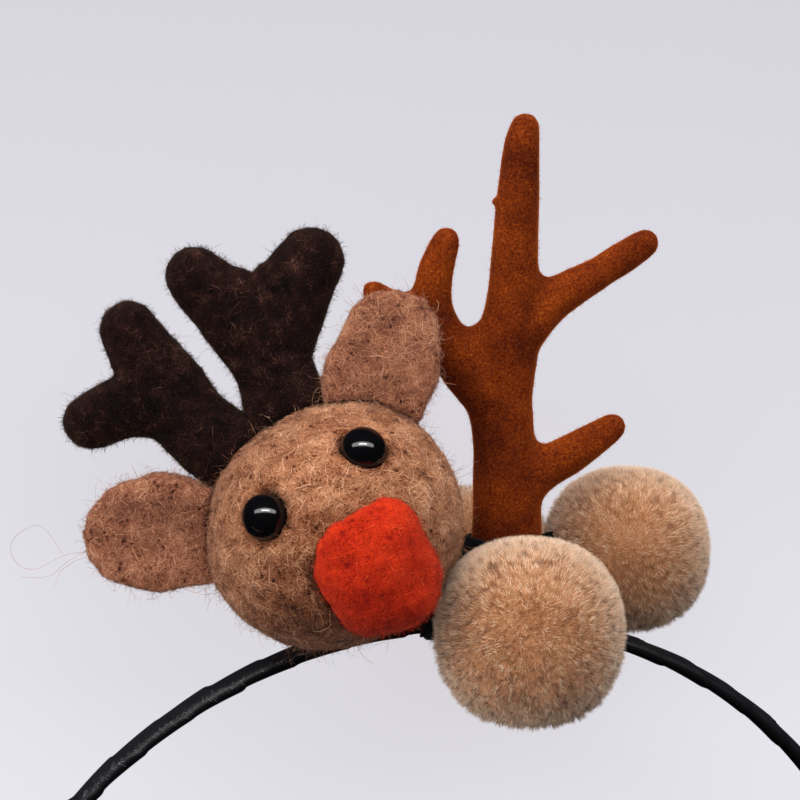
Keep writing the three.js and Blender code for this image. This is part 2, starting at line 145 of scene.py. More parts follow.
# Wool and yarn: no gloss, and a colour that runs from dark pits to pale strands. Each strand's own
# shade comes from the mesh as "tone", which also carries painted light and shade. Over it go a mottle
# of a few millimetres, fine curls, which are contour lines of a warped noise and look like strands
# matted side by side, and needle pits, whose darkness is painted shade in their hollows. Real
# fibres are 0.02 mm thick, too fine to show, so strands and curls are drawn up to 0.1 mm thick.
def fibreMaterial(name, look):
    material, tree = newMaterial(name)
    place = addNode(tree, "ShaderNodeTexCoord", out="Object")
    tone = addNode(tree, "ShaderNodeAttribute", out="Fac", attribute_name="tone")
    mottle = addNode(tree, "ShaderNodeTexNoise", {
        "Vector": place, "Scale": perMetre(look["mottle"]), "Detail": 3.0, "Roughness": 0.6})
    curls = None
    for layer in range(3):
        field = addNode(tree, "ShaderNodeTexNoise", {
            "Vector": place, "W": 7.0 * layer, "Scale": perMetre(look["curlSize"]), "Detail": 1.0,
            "Distortion": 0.8}, noise_dimensions="4D")
        lines = addNode(tree, "ShaderNodeMath", {0: field, 1: look["curlLines"]}, operation="MULTIPLY")
        lines = addNode(tree, "ShaderNodeMath", {0: lines, 1: 1.0}, operation="PINGPONG")
        curls = lines if curls is None else addNode(
            tree, "ShaderNodeMath", {0: curls, 1: lines}, operation="MAXIMUM")
    warp = addNode(tree, "ShaderNodeTexNoise", {"Vector": place, "Scale": perMetre(1.1)}, out="Color")
    shifted = addNode(tree, "ShaderNodeVectorMath", {0: warp, 1: (mm, mm, mm), 2: place},
                      operation="MULTIPLY_ADD")
    cells = addNode(tree, "ShaderNodeTexVoronoi", {
        "Vector": shifted, "Scale": perMetre(look["pitSpacing"])}, out="Distance")
    pit = addNode(tree, "ShaderNodeMapRange", {
        "Value": cells, "From Min": 0.08, "From Max": 0.34, "To Min": 1.0, "To Max": 0.0},
        interpolation_type="SMOOTHSTEP")
    some = addNode(tree, "ShaderNodeMapRange", {
        "Value": mottle, "From Min": 0.42, "From Max": 0.56, "To Min": 1.0, "To Max": 0.0})
    pit = addNode(tree, "ShaderNodeMath", {0: pit, 1: some}, operation="MULTIPLY")
    wide = addNode(tree, "ShaderNodeMath", {
        0: mottle, 1: look["mottleStrength"], 2: -look["mottleStrength"] / 2}, operation="MULTIPLY_ADD")
    fine = addNode(tree, "ShaderNodeMath", {
        0: curls, 1: look["curlStrength"], 2: -look["curlStrength"] * 0.75}, operation="MULTIPLY_ADD")
    uneven = addNode(tree, "ShaderNodeMath", {0: wide, 1: fine}, operation="ADD")
    # painted shade: the colour is darkened in the needle pits, as shade in their hollows
    shade = addNode(tree, "ShaderNodeMath", {0: pit, 1: -look["paintedPitShade"], 2: uneven},
                    operation="MULTIPLY_ADD")
    shade = addNode(tree, "ShaderNodeMath", {0: shade, 1: tone}, operation="ADD", use_clamp=True)
    colour = addNode(tree, "ShaderNodeValToRGB", {"Fac": shade}, stops=look["colours"])
    height = addNode(tree, "ShaderNodeMath", {0: pit, 1: -1.5, 2: curls}, operation="MULTIPLY_ADD")
    bump = addNode(tree, "ShaderNodeBump", {
        "Height": height, "Strength": 0.5, "Distance": look["bump"] * mm})
    shader = addNode(tree, "ShaderNodeBsdfPrincipled", {
        "Base Color": colour, "Roughness": 0.95, "IOR": 1.45, "Specular IOR Level": 0.1,
        "Sheen Weight": look["sheen"], "Sheen Roughness": 0.5, "Sheen Tint": linear(look["sheenTint"]),
        "Normal": bump})
    addNode(tree, "ShaderNodeOutputMaterial", {"Surface": shader})
    return material


# Helpers for meshes. A part is a dictionary of verts, tris, tones and shading normals.


def unit(vectors):
    return vectors / (np.linalg.norm(vectors, axis=-1, keepdims=True) + 1e-12)


def nodeArrays(name):  # a CAD node's vertices and triangles
    mesh = frame["nodes"][name].data
    verts = np.zeros(len(mesh.vertices) * 3)
    mesh.vertices.foreach_get("co", verts)
    mesh.calc_loop_triangles()
    tris = np.zeros(len(mesh.loop_triangles) * 3, int)
    mesh.loop_triangles.foreach_get("vertices", tris)
    return verts.reshape(-1, 3), tris.reshape(-1, 3)


def treeOf(verts, tris):
    return BVHTree.FromPolygons(verts.tolist(), tris.tolist())


# The solids, for felt that is worked into its neighbour and for yarn that keeps clear of it
nodeTrees = {name: treeOf(*nodeArrays(name)) for name in frame["nodes"]}


def skinPart(verts, tris, tones):
    a, b, c = (verts[tris[:, corner]] for corner in range(3))
    face = np.cross(b - a, c - a)
    normals = np.zeros_like(verts)
    for corner in range(3):
        np.add.at(normals, tris[:, corner], face)
    return {"verts": verts, "tris": tris, "tones": tones, "normals": unit(normals)}


# A CAD node as a fine, even skin with its facets smoothed out and its inner corners filled
def smoothSkin(node, voxel, passes, fillet=0):
    holder = bpy.data.objects.new("holder", frame["nodes"][node].data.copy())
    bpy.context.scene.collection.objects.link(holder)
    remesh = holder.modifiers.new("voxels", "REMESH")
    remesh.mode = "VOXEL"
    remesh.voxel_size = voxel * mm
    if fillet:
        for way in (1, -1):
            grow = holder.modifiers.new("grow and shrink", "DISPLACE")
            grow.mid_level, grow.strength = 0, way * fillet * mm
            remesh = holder.modifiers.new("voxels", "REMESH")
            remesh.mode, remesh.voxel_size = "VOXEL", voxel * mm
    smooth = holder.modifiers.new("smooth", "SMOOTH")
    smooth.factor = 0.5
    smooth.iterations = passes
    holder.modifiers.new("triangles", "TRIANGULATE")
    mesh = bpy.data.meshes.new_from_object(holder.evaluated_get(bpy.context.evaluated_depsgraph_get()))
    verts = np.zeros(len(mesh.vertices) * 3)
    mesh.vertices.foreach_get("co", verts)
    tris = np.zeros(len(mesh.loops), int)
    mesh.loops.foreach_get("vertex_index", tris)
    bpy.data.objects.remove(holder)
    return skinPart(verts.reshape(-1, 3), tris.reshape(-1, 3), None)


def softNoise(points, size, offset=0.0):  # smooth noise from -1 to 1, its features of that size in mm
    return np.array([noise.noise(Vector(p)) for p in points / (size * mm) + offset])


def nearestOn(tree, points):  # the nearest places on a skin, and the ways out of it there
    found = [tree.find_nearest(Vector(p)) for p in points]
    return np.array([f[0] for f in found]), np.array([f[1] for f in found])


def nearness(trees, points, reach):  # 1 where a point touches one of the skins, 0 from reach mm on
    close = np.zeros(len(points))
    for tree in trees:
        found = [tree.find_nearest(Vector(p), reach * mm)[3] for p in points]
        close = np.maximum(close, [0 if f is None else 1 - f / (reach * mm) for f in found])
    return close


def scatter(rng, skin, count):  # places spread evenly over a skin
    corners = skin["verts"][skin["tris"]]
    a, b, c = corners[:, 0], corners[:, 1], corners[:, 2]
    area = np.linalg.norm(np.cross(b - a, c - a), axis=1)
    pick = rng.choice(len(area), count, p=area / area.sum())
    u, v = rng.random((2, count, 1))
    over = (u + v) > 1
    u, v = np.where(over, 1 - u, u), np.where(over, 1 - v, v)
    place = a[pick] + u * (b[pick] - a[pick]) + v * (c[pick] - a[pick])
    return place, unit(skin["normals"][skin["tris"][pick]].mean(axis=1))


# Strands along paths (strands x points x 3), thick in metres, each ending in a point. Two sides make
# a flat strip that lies on a surface, and more make a closed needle or thread. The softer it is, the
# more its shading follows "outward", the way out of the surface that it grows on.
def strandPart(paths, thick, outward, tones, sides=3, soft=0.5):
    count, steps = paths.shape[:2]
    along = unit(np.gradient(paths, axis=1))
    across = unit(np.cross(along, outward + 1e-7))
    front = np.cross(along, across)
    share = np.linspace(0, 1, steps)[:-1]
    girth = thick[:, None] / 2 * (0.7 + 0.3 * np.sin(share * math.pi))[None, :]  # fullest in its middle
    rings, normals = [], []
    for corner in range(sides):
        turn = math.pi * (corner + 1) if sides == 2 else 2 * math.pi * corner / sides
        away = math.cos(turn) * across[:, :-1] + math.sin(turn) * front[:, :-1]
        rings.append(paths[:, :-1] + away * girth[:, :, None])
        normals.append(unit((1 - soft) * away + soft * outward[:, :-1]))
    per = sides * (steps - 1) + 1
    verts = np.concatenate((np.stack(rings, 2).reshape(count, -1, 3), paths[:, -1:]), axis=1)
    normals = np.concatenate((np.stack(normals, 2).reshape(count, -1, 3), outward[:, -1:]), axis=1)
    tris = [(0, corner + 1, corner) for corner in range(1, sides - 1)]
    for step in range(steps - 1):
        for corner in range(1 if sides == 2 else sides):
            a, b = sides * step + corner, sides * step + (corner + 1) % sides
            if step < steps - 2:
                tris += [(a, b, b + sides), (a, b + sides, a + sides)]
            else:
                tris.append((a, b, per - 1))
    tris = np.array(tris)[None] + (np.arange(count) * per)[:, None, None]
    tones = np.concatenate((np.repeat(tones[:, :-1], sides, axis=1), tones[:, -1:]), axis=1)
    return {"verts": verts.reshape(-1, 3), "tris": tris.reshape(-1, 3), "tones": tones.ravel(),
            "normals": normals.reshape(-1, 3)}


def addPiece(name, parts, material, replaced, layers=()):  # layers: more values of each point
    base = np.cumsum([0] + [len(part["verts"]) for part in parts[:-1]])
    verts = np.concatenate([part["verts"] for part in parts])
    verts[:, 2] = np.maximum(verts[:, 2], 0)  # fibres bend where they meet the floor
    tris = np.concatenate([part["tris"] + start for part, start in zip(parts, base)])
    mesh = bpy.data.meshes.new(name)
    mesh.vertices.add(len(verts))
    mesh.vertices.foreach_set("co", verts.astype(np.float32).ravel())
    mesh.loops.add(3 * len(tris))
    mesh.loops.foreach_set("vertex_index", tris.astype(np.int32).ravel())
    mesh.polygons.add(len(tris))
    mesh.polygons.foreach_set("loop_start", np.arange(0, 3 * len(tris), 3, dtype=np.int32))
    mesh.polygons.foreach_set("use_smooth", np.ones(len(tris), bool))
    for layer in ("tones",) + layers:
        values = np.concatenate([part[layer] for part in parts])
        attribute = mesh.attributes.new("tone" if layer == "tones" else layer, "FLOAT", "POINT")
        attribute.data.foreach_set("value", values.astype(np.float32))
    mesh.update(calc_edges=True)
    mesh.normals_split_custom_set_from_vertices(np.concatenate([part["normals"] for part in parts]))
    mesh.materials.append(material)
    piece = bpy.data.objects.new(name, mesh)
    bpy.context.scene.collection.objects.link(piece)
    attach(piece, "root")
    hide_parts(replaced)
    print(name, len(tris), "triangles")


# Bead eyes

# Moulded black glass bead: a deep black body with a smooth, fully glossy skin
blackBead, tree = newMaterial("mouldedBlackGlassBead")
speck = addNode(tree, "ShaderNodeTexNoise", {"Scale": perMetre(1.2), "Detail": 2.0})
black = addNode(tree, "ShaderNodeValToRGB", {"Fac": speck}, stops=[(0.3, "#040405"), (0.8, "#0b0b0d")])
shader = addNode(tree, "ShaderNodeBsdfPrincipled", {
    "Base Color": black, "Roughness": 0.1, "IOR": 1.52})
addNode(tree, "ShaderNodeOutputMaterial", {"Surface": shader})

beadEye = {  # nudges are mm to the right, up and towards the camera's side
    "size": 6, "squash": 0.97, "sides": 56, "rows": 32,
    "nudge": {"left": (-0.1, -0.3, 0.3), "right": (0.25, -0.4, 0.3)},
}


def beadPart(side, bead):
    verts, _ = nodeArrays(f"eye_{side}")
    centre = (verts.min(axis=0) + verts.max(axis=0)) / 2 + np.array(bead["nudge"][side]) * mm @ viewAxes
    outward = unit(centre - np.mean(nodeArrays("reindeer_head")[0], axis=0))
    across = unit(np.cross(outward, (0.0, 1.0, 0.0)))
    other = np.cross(outward, across)
    rise = np.pi * (np.arange(1, bead["rows"]) / bead["rows"])
    turn = 2 * np.pi * np.arange(bead["sides"]) / bead["sides"]
    ring = np.cos(turn)[:, None] * across + np.sin(turn)[:, None] * other
    ring = ring[None] * np.sin(rise)[:, None, None]
    ball = (ring + bead["squash"] * np.cos(rise)[:, None, None] * outward).reshape(-1, 3)
    ball = np.concatenate((ball, [bead["squash"] * outward, -bead["squash"] * outward]))
    tris, last = [], len(ball) - 2
    for i in range(bead["sides"]):
        j = (i + 1) % bead["sides"]
        tris.append((last, i, j))
        for row in range(bead["rows"] - 2):
            a, b = row * bead["sides"] + i, row * bead["sides"] + j
            tris += [(a, a + bead["sides"], b + bead["sides"]), (a, b + bead["sides"], b)]
        foot = (bead["rows"] - 2) * bead["sides"]
        tris.append((last + 1, foot + j, foot + i))
    return skinPart(centre + ball * bead["size"] / 2 * mm, np.array(tris), np.full(len(ball), 0.5))


for side in ("left", "right"):
    bead = beadPart(side, beadEye)
    addPiece(f"bead_eye_{side}", [bead], blackBead, f"eye_{side}")
    nodeTrees[f"eye_{side}"] = treeOf(bead["verts"], bead["tris"])  # the felt then closes round it
print("eyes made")

# Needle-felted wool


# Wool matted on a skin: flat curls that wander over it, rise a little from it and end in it
def mattedWool(rng, skin, tree, felt):
    count, steps = felt["strands"], felt["steps"]
    place, out = scatter(rng, skin, count)
    swirl = np.stack([softNoise(place, felt["swirl"], 11.3 * axis) for axis in (1, 2, 3)], axis=1)
    heading = unit(swirl + rng.normal(0, felt["stray"], (count, 3)))
    stride = rng.uniform(*felt["length"], count) * mm / (steps - 1)
    lift = rng.uniform(0, 1, count) ** 2
    bend = rng.normal(0, felt["curl"], count)
    points, ways = [], []
    for step in range(steps):
        heading = unit(heading - out * (heading * out).sum(1, keepdims=True))
        turn = bend + rng.normal(0, felt["curl"] / 2, count)
        heading = heading * np.cos(turn)[:, None] + np.cross(out, heading) * np.sin(turn)[:, None]
        if step:
            place, out = nearestOn(tree, place + heading * stride[:, None])
        rise = felt["sunk"] + lift * (felt["lift"] - felt["sunk"]) * math.sin(math.pi * step / (steps - 1))
        points.append(place + out * (rise * mm)[:, None])
        ways.append(out)
    thick = rng.uniform(*felt["thick"], count) * mm
    # painted light: strands that rise higher from the skin are paler, as the light they catch
    tones = felt["strandTone"] + felt["paintedLiftLight"] * lift + rng.normal(0, felt["toneSpread"], count)
    return np.stack(points, axis=1), thick, np.stack(ways, axis=1), np.repeat(tones[:, None], steps, axis=1)


# Every loose hair starts that many mm below the skin, and turns and rises a little at each step
hairGrowth = {"rooted": 0.1, "spread": 0.6, "twist": 0.2, "rise": 0.04, "toneSpread": 0.12}


# Loose hairs that curl out of a skin, as flat strips that face any way
def looseHairs(rng, skin, hairs):
    count, steps = hairs["count"], hairs["steps"]
    place, out = scatter(rng, skin, count)
    stride = rng.uniform(*hairs["length"], count)[:, None] * mm / (steps - 1)
    heading = unit(out * hairs["stand"] + rng.normal(0, hairGrowth["spread"], (count, 3)))
    axis = unit(rng.normal(0, 1, (count, 3)))
    bend = (rng.uniform(-1, 1, count) * hairs["curl"])[:, None]
    points = [place - out * hairGrowth["rooted"] * mm]
    for _ in range(1, steps):
        axis = unit(axis + rng.normal(0, hairGrowth["twist"], (count, 3)))
        heading = unit(heading + np.cross(axis, heading) * bend + hairGrowth["rise"] * out)
        points.append(points[-1] + heading * stride)
    ways = np.repeat(unit(rng.normal(0, 1, (count, 1, 3))), steps, axis=1)
    tones = np.repeat(rng.normal(hairs["tone"], hairGrowth["toneSpread"], count)[:, None], steps, axis=1)
    return strandPart(np.stack(points, axis=1), rng.uniform(*hairs["thick"], count) * mm, ways, tones,
                      sides=2)


# Long wisps that have come loose: each is a curve through (right, up) mm, level with the skin's left end
def looseWisps(skin, wisps, look):
    leftmost = np.argmin((skin["verts"] - crownPlace) @ viewAxes[0])
    depth = (skin["verts"][leftmost] - crownPlace) @ viewAxes[2] / mm
    paths, steps = [], look["steps"]
    for wisp in wisps:
        wisp = np.array(wisp, float)
        walked = np.concatenate(([0], np.cumsum(np.hypot(*np.diff(wisp, axis=0).T))))
        share = np.linspace(0, walked[-1], steps)
        line = np.stack([np.interp(share, walked, wisp[:, axis]) for axis in (0, 1)], axis=1)
        for _ in range(look["rounds"]):
            line[1:-1] = (line[:-2] + 2 * line[1:-1] + line[2:]) / 4
        line = np.column_stack((line, np.full(steps, depth))) * mm
        paths.append(crownPlace + line @ viewAxes)
    ways = np.tile(viewAxes[2], (len(paths), steps, 1))
    return strandPart(np.stack(paths), np.full(len(paths), look["thick"] * mm), ways,
                      np.full((len(paths), steps), look["tone"]))


# Felt that is worked into its neighbour: each skin goes half of the way over the gap between them
def closeGaps(verts, trees, felt):
    reach, half = felt["closeReach"] * mm, felt["halfGap"] * mm
    for tree in trees:
        for i, vert in enumerate(verts):
            near, out, _, far = tree.find_nearest(Vector(vert), reach)
            if near is not None and (vert - np.array(near)) @ np.array(out) < 0:
                verts[i] = np.array(near) + np.array(out) * half
            elif near is not None:
                ease = min(1, 2 * (1 - far / reach))
                verts[i] += (np.array(near) - vert) * (ease * (far - half) / far)
    return verts


# Small bulges in mm, or patches of painted light and shade as a share of the colours: each has its
# place, in mm to the right of and above the crown as the camera sees it, the mm that it reaches and how
# strong it is
def bulgeOut(verts, bulges):
    seen = (verts - crownPlace) @ viewAxes.T / mm
    grow = np.zeros(len(verts))
    for right, up, reach, by in bulges:
        away = np.hypot(seen[:, 0] - right, seen[:, 1] - up)
        grow += by * np.clip(1 - (away / reach) ** 2, 0, 1) ** 1.5
    return grow


# A felted piece: a lumpy skin under matted wool, with shade painted into its dents and near where other
# pieces press into it
def feltPiece(name, node, felt, material, creases=()):
    rng = np.random.default_rng(felt["seed"])
    skin = smoothSkin(node, felt["voxel"], felt["passes"])
    lump = softNoise(skin["verts"], felt["lumpSize"], felt["seed"])
    dent = softNoise(skin["verts"], felt["lumpSize"] / felt["dentsAcross"], felt["seed"] + 5)
    lump = felt["lumpDeep"] * (lump + felt["dentShare"] * dent)
    grow = felt["swell"] + lump + bulgeOut(skin["verts"], felt["bulges"])
    trees = [nodeTrees[other] for other in creases]
    verts = closeGaps(skin["verts"] + skin["normals"] * grow[:, None] * mm, trees, felt)
    # painted shade: the skin is darker near the pieces that press into it, as shade in the creases
    close = felt["paintedCreaseShade"] * nearness(trees, verts, felt["creaseShadeWide"])
    # painted light and shade: the listed patches make the colour paler or darker
    paintedPatch = bulgeOut(verts, felt["paintedLightAndShade"])
    # painted light and shade: the skin is darker where it is dented and paler where it rises
    skin = skinPart(verts, skin["tris"], felt["skinTone"] + felt["paintedDentShade"] * dent + paintedPatch - close)
    paths, thick, ways, tones = mattedWool(rng, skin, treeOf(verts, skin["tris"]), felt)
    # the same painted crease shade on the strands
    close = nearness(trees, paths.reshape(-1, 3), felt["creaseShadeWide"]).reshape(tones.shape)
    # and the painted dent shade and light on the strands
    dent = softNoise(paths[:, 1], felt["lumpSize"] / felt["dentsAcross"], felt["seed"] + 5)[:, None]
    tones = tones + felt["paintedDentShade"] * dent - felt["paintedCreaseShade"] * close
    # the same painted light and shade on the strands
    tones = tones + bulgeOut(paths[:, 1], felt["paintedLightAndShade"])[:, None]
    matted = strandPart(paths, thick, ways, tones, sides=2, soft=0.7)
    parts = [skin, matted] + [looseHairs(rng, skin, hairs) for hairs in felt["hairs"]]
    if felt["wisps"]:
        parts.append(looseWisps(skin, felt["wisps"], felt["wispLook"]))
    addPiece(name, parts, material, node)


# Wool felted with barbed needles: strands matted every way, and small pits where the needles went in,
# painted dark as shade. The head has the tan of undyed camel wool
tanWool = fibreMaterial("needleFeltedTanWool", {
    "colours": [(0.0, "#2a1007"), (0.25, "#66351d"), (0.5, "#a46e4d"), (0.72, "#cb9b78"), (1.0, "#ebcbb0")],
    "mottle": 3.2, "mottleStrength": 0.5, "curlSize": 2.4, "curlLines": 26.0, "curlStrength": 0.35,
    "pitSpacing": 1.5, "paintedPitShade": 0.34, "bump": 0.12, "sheen": 0.12, "sheenTint": "#ffe6d0"})
# The same for the ears, in a pinker beige and needled flat, so with more pits
earWool = fibreMaterial("needleFeltedPinkBeigeWool", {
    "colours": [(0.0, "#30160c"), (0.25, "#68392a"), (0.5, "#9c6448"), (0.72, "#bf8b6b"), (1.0, "#e3bb9e")],
    "mottle": 3.2, "mottleStrength": 0.5, "curlSize": 2.4, "curlLines": 26.0, "curlStrength": 0.35,
    "pitSpacing": 1.3, "paintedPitShade": 0.4, "bump": 0.12, "sheen": 0.15, "sheenTint": "#ffe9dd"})
# Wool dyed dark brown for the antlers: only the strands on top catch enough light to be seen
darkWool = fibreMaterial("needleFeltedDarkBrownWool", {
    "colours": [(0.0, "#020001"), (0.3, "#0d0404"), (0.55, "#1f0e0b"), (0.75, "#3a211a"), (1.0, "#6d4c3e")],
    "mottle": 2.6, "mottleStrength": 0.8, "curlSize": 2.0, "curlLines": 22.0, "curlStrength": 0.4,
    "pitSpacing": 2.1, "paintedPitShade": 0.25, "bump": 0.12, "sheen": 0.06, "sheenTint": "#ffc8a8"})
# Wool dyed red for the nose, needled longer, so smoother, with orange painted where its strands stand up, as
# the light they catch
redWool = fibreMaterial("needleFeltedRedWool", {
    "colours": [(0.0, "#520802"), (0.25, "#861407"), (0.5, "#af260c"), (0.72, "#c53514"), (1.0, "#e05a33")],
    "mottle": 3.0, "mottleStrength": 0.5, "curlSize": 1.8, "curlLines": 22.0, "curlStrength": 0.4,
    "pitSpacing": 1.8, "paintedPitShade": 0.2, "bump": 0.08, "sheen": 0.1, "sheenTint": "#ff9a78"})

headFelt = {  # sizes in mm; tones are shares of the wool's colours, from its darkest to its palest
    "seed": 3, "voxel": 0.6, "passes": 12, "swell": -0.15,
    "lumpSize": 5, "lumpDeep": 0.3, "dentsAcross": 3, "dentShare": 0.6,
    # the crease values paint shade near the pieces that press in
    "skinTone": 0.36, "creaseShadeWide": 1.2, "paintedCreaseShade": 0.2, "closeReach": 1.0, "halfGap": 0.17,
    "bulges": [],
    "strands": 21000, "steps": 4, "swirl": 7, "stray": 0.35, "length": (1.2, 3.6), "curl": 0.55,
    # strands that lift further are painted paler below, as light
    "sunk": -0.02, "lift": 0.32, "thick": (0.05, 0.1),
    # the dent value paints shade into the dents and light on the rises
    "strandTone": 0.43, "paintedLiftLight": 0.1, "toneSpread": 0.1, "paintedDentShade": 0.12,
    # painted light on the brow and the right side, and painted shade low down and on the left; the low patch
    # is partly browner wool as well
    "paintedLightAndShade": [(-16.6, 0.5, 12, -0.2), (-15.3, 13.5, 6, -0.08), (-2.5, 14, 9, 0.06), (-12, 24, 9, 0.05)],
    "wisps": [], "wispLook": {"steps": 40, "rounds": 6, "thick": 0.05, "tone": 0.5},
    "hairs": [
        {"count": 7800, "steps": 4, "length": (0.4, 1.6), "curl": 1.1, "stand": 0.5, "thick": (0.02, 0.04),
         "tone": 0.56},
        {"count": 1700, "steps": 6, "length": (1.2, 4.5), "curl": 1.1, "stand": 1.3, "thick": (0.03, 0.045),
         "tone": 0.45},
    ],
}
feltPiece("felted_head", "reindeer_head", headFelt, tanWool,
          ("ear_left", "ear_right", "felt_antler_left", "felt_antler_right", "nose",
           "eye_left", "eye_right"))

noseFelt = dict(
    headFelt, seed=8, voxel=0.4, passes=6, swell=-0.05, lumpDeep=0.15, skinTone=0.46, strands=4200,
    # the nose's bottom is painted darker, as shade
    paintedLightAndShade=[(-8.6, 1.5, 7, -0.16)], bulges=[(-7.4, 17.4, 6, 1.1), (-13.9, 14.6, 5, 1.4), (-3.5, 2.4, 5, 1.0)],
    length=(0.8, 2.2), lift=0.18, strandTone=0.5, paintedLiftLight=0.12,
    hairs=[{"count": 5500, "steps": 4, "length": (0.3, 1.1), "curl": 1.0, "stand": 0.6,
            "thick": (0.025, 0.045), "tone": 0.62}])
feltPiece("felted_nose", "nose", noseFelt, redWool, ("reindeer_head",))

earFelt = dict(
    headFelt, voxel=0.45, passes=5, swell=0, lumpDeep=0.15, strands=6000, length=(1, 3), paintedLightAndShade=[],
    hairs=[{"count": 5000, "steps": 4, "length": (0.4, 1.6), "curl": 1.1, "stand": 0.5,
            "thick": (0.02, 0.04), "tone": 0.6},
           {"count": 700, "steps": 6, "length": (1, 4), "curl": 1.1, "stand": 1.3,
            "thick": (0.03, 0.045), "tone": 0.5}])
earShapes = {
    "left": {
        "seed": 14, "bulges": [(-34.4, 18.8, 6, 1.4), (-40.5, 19.7, 6, 0.8)],
        "wisps": [
            [(-46, 10.6), (-50.3, 10), (-52.3, 8.9), (-54, 7.7), (-56.1, 8.2), (-57.6, 10.3), (-57.1, 12.3),
             (-55.4, 13.3), (-53.7, 14.4), (-52.3, 13.2), (-51, 11), (-50.2, 9.8)],
            [(-45.5, 11.4), (-48.2, 10), (-50.4, 8.7), (-51.6, 7.3), (-53.4, 6.9), (-56, 7.1)],
            [(-46, 9.9), (-48.6, 9.3), (-50.8, 7.8), (-51.4, 5.8)]]},
    "right": {"seed": 15, "bulges": [(-16.4, 31.8, 6.5, 1.9)]},
}
for side, shape in earShapes.items():
    feltPiece(f"felted_ear_{side}", f"ear_{side}", dict(earFelt, **shape), earWool,
              ("reindeer_head", f"felt_antler_{side}"))

feltAntlerFelt = dict(
    headFelt, seed=21, voxel=0.56, passes=8, swell=0.1, lumpDeep=0.2, strands=6500,
    length=(0.8, 2.4), curl=0.8, thick=(0.04, 0.09), strandTone=0.44, paintedLiftLight=0.12, toneSpread=0.12,
    # one patch darkens the left antler's outer side
    paintedDentShade=0.22, paintedLightAndShade=[(-38, 27, 10, -0.12)],
    bulges=[(-26.3, 27.6, 5, 0.9), (-16.9, 30.3, 4, 0.6), (-25.6, 47.2, 2.6, 0.9)],
    hairs=[{"count": 7500, "steps": 4, "length": (0.35, 1.3), "curl": 1.2, "stand": 0.6,
            "thick": (0.03, 0.055), "tone": 0.58},
           {"count": 100, "steps": 6, "length": (1.5, 4), "curl": 1.0, "stand": 0.6,
            "thick": (0.02, 0.03), "tone": 0.85}])
for number, side in enumerate(("left", "right")):
    feltPiece(f"felted_antler_{side}", f"felt_antler_{side}",
              dict(feltAntlerFelt, seed=feltAntlerFelt["seed"] + number),
              darkWool, ("reindeer_head",))
print("felt made")

# Hoop

# Satin ribbon wound on sprung steel: charcoal with a soft shine, fine threads along each turn, a
# step where each turn laps over the last, and pale frayed threads where the edge has worn. Its outer
# face is painted paler and its inner face darker, as light and shade, and the step under each lap is
# painted darker as shade. Real satin threads are under 0.1 mm across, and here they are 0.16 mm so
# that they show
satinRibbon, tree = newMaterial("woundSatinRibbon")
along = addNode(tree, "ShaderNodeAttribute", out="Fac", attribute_name="along")
around = addNode(tree, "ShaderNodeAttribute", out="Fac", attribute_name="around")
tone = addNode(tree, "ShaderNodeAttribute", out="Fac", attribute_name="tone")
lay = addNode(tree, "ShaderNodeCombineXYZ", {0: along, 1: around})
threads = addNode(tree, "ShaderNodeTexNoise", {"Vector": lay, "Scale": 1.0, "Detail": 3.0})
shade = addNode(tree, "ShaderNodeMath", {0: threads, 1: 0.16, 2: -0.08}, operation="MULTIPLY_ADD")
shade = addNode(tree, "ShaderNodeMath", {0: shade, 1: tone}, operation="ADD", use_clamp=True)
colour = addNode(tree, "ShaderNodeValToRGB", {"Fac": shade}, stops=[
    (0.0, "#030203"), (0.3, "#0b0a0d"), (0.6, "#1d1c20"), (1.0, "#a09ea2")])
bump = addNode(tree, "ShaderNodeBump", {"Height": threads, "Strength": 0.35, "Distance": 0.08 * mm})
shader = addNode(tree, "ShaderNodeBsdfPrincipled", {
    "Base Color": colour, "Roughness": 0.45, "IOR": 1.5, "Specular IOR Level": 0.3, "Normal": bump})
addNode(tree, "ShaderNodeOutputMaterial", {"Surface": shader})

woundHoop = {
    "seed": 50, "crownReach": 80, "legRadius": 110, "legReach": 116,  # the reaches are in degrees
    "wide": 4.4, "thick": 2.2, "squared": 0.85, "endTaper": 0.8, "rings": 850, "sides": 24,
    "pitch": 7.8, "step": 0.2, "stepUneven": (0.5, 1.5), "sunk": 0.4, "wrinkle": 0.05,
    "lap": 0.5, "lapUneven": 0.25, "slant": 2.2, "slantTurn": 0.9,
    # the outer and lap values paint light and shade on the band
    "tone": 0.25, "paintedOuterLight": 0.25, "paintedLapShade": 0.2, "threadAlong": 2.5, "threadAcross": 0.16,
    # Frayed threads lie along the left, in mm from the crown, and degrees round the band to its front
    "frayed": 700, "frayedReach": (-105, -12), "frayedAngle": -58, "frayedSpread": 0.07,
    "frayLength": (0.12, 0.5), "fraySlant": 0.3, "frayRise": 0.12, "frayUneven": 0.03,
    "frayThick": (0.025, 0.045), "frayTone": (0.55, 0.95),
}
# The lengths of the centreline in mm, from the crown to where a leg starts and to its tip
crownArc = math.radians(woundHoop["crownReach"]) * upright["crownRadius"]
hoopHalf = crownArc + math.radians(woundHoop["legReach"] - woundHoop["crownReach"]) * woundHoop["legRadius"]


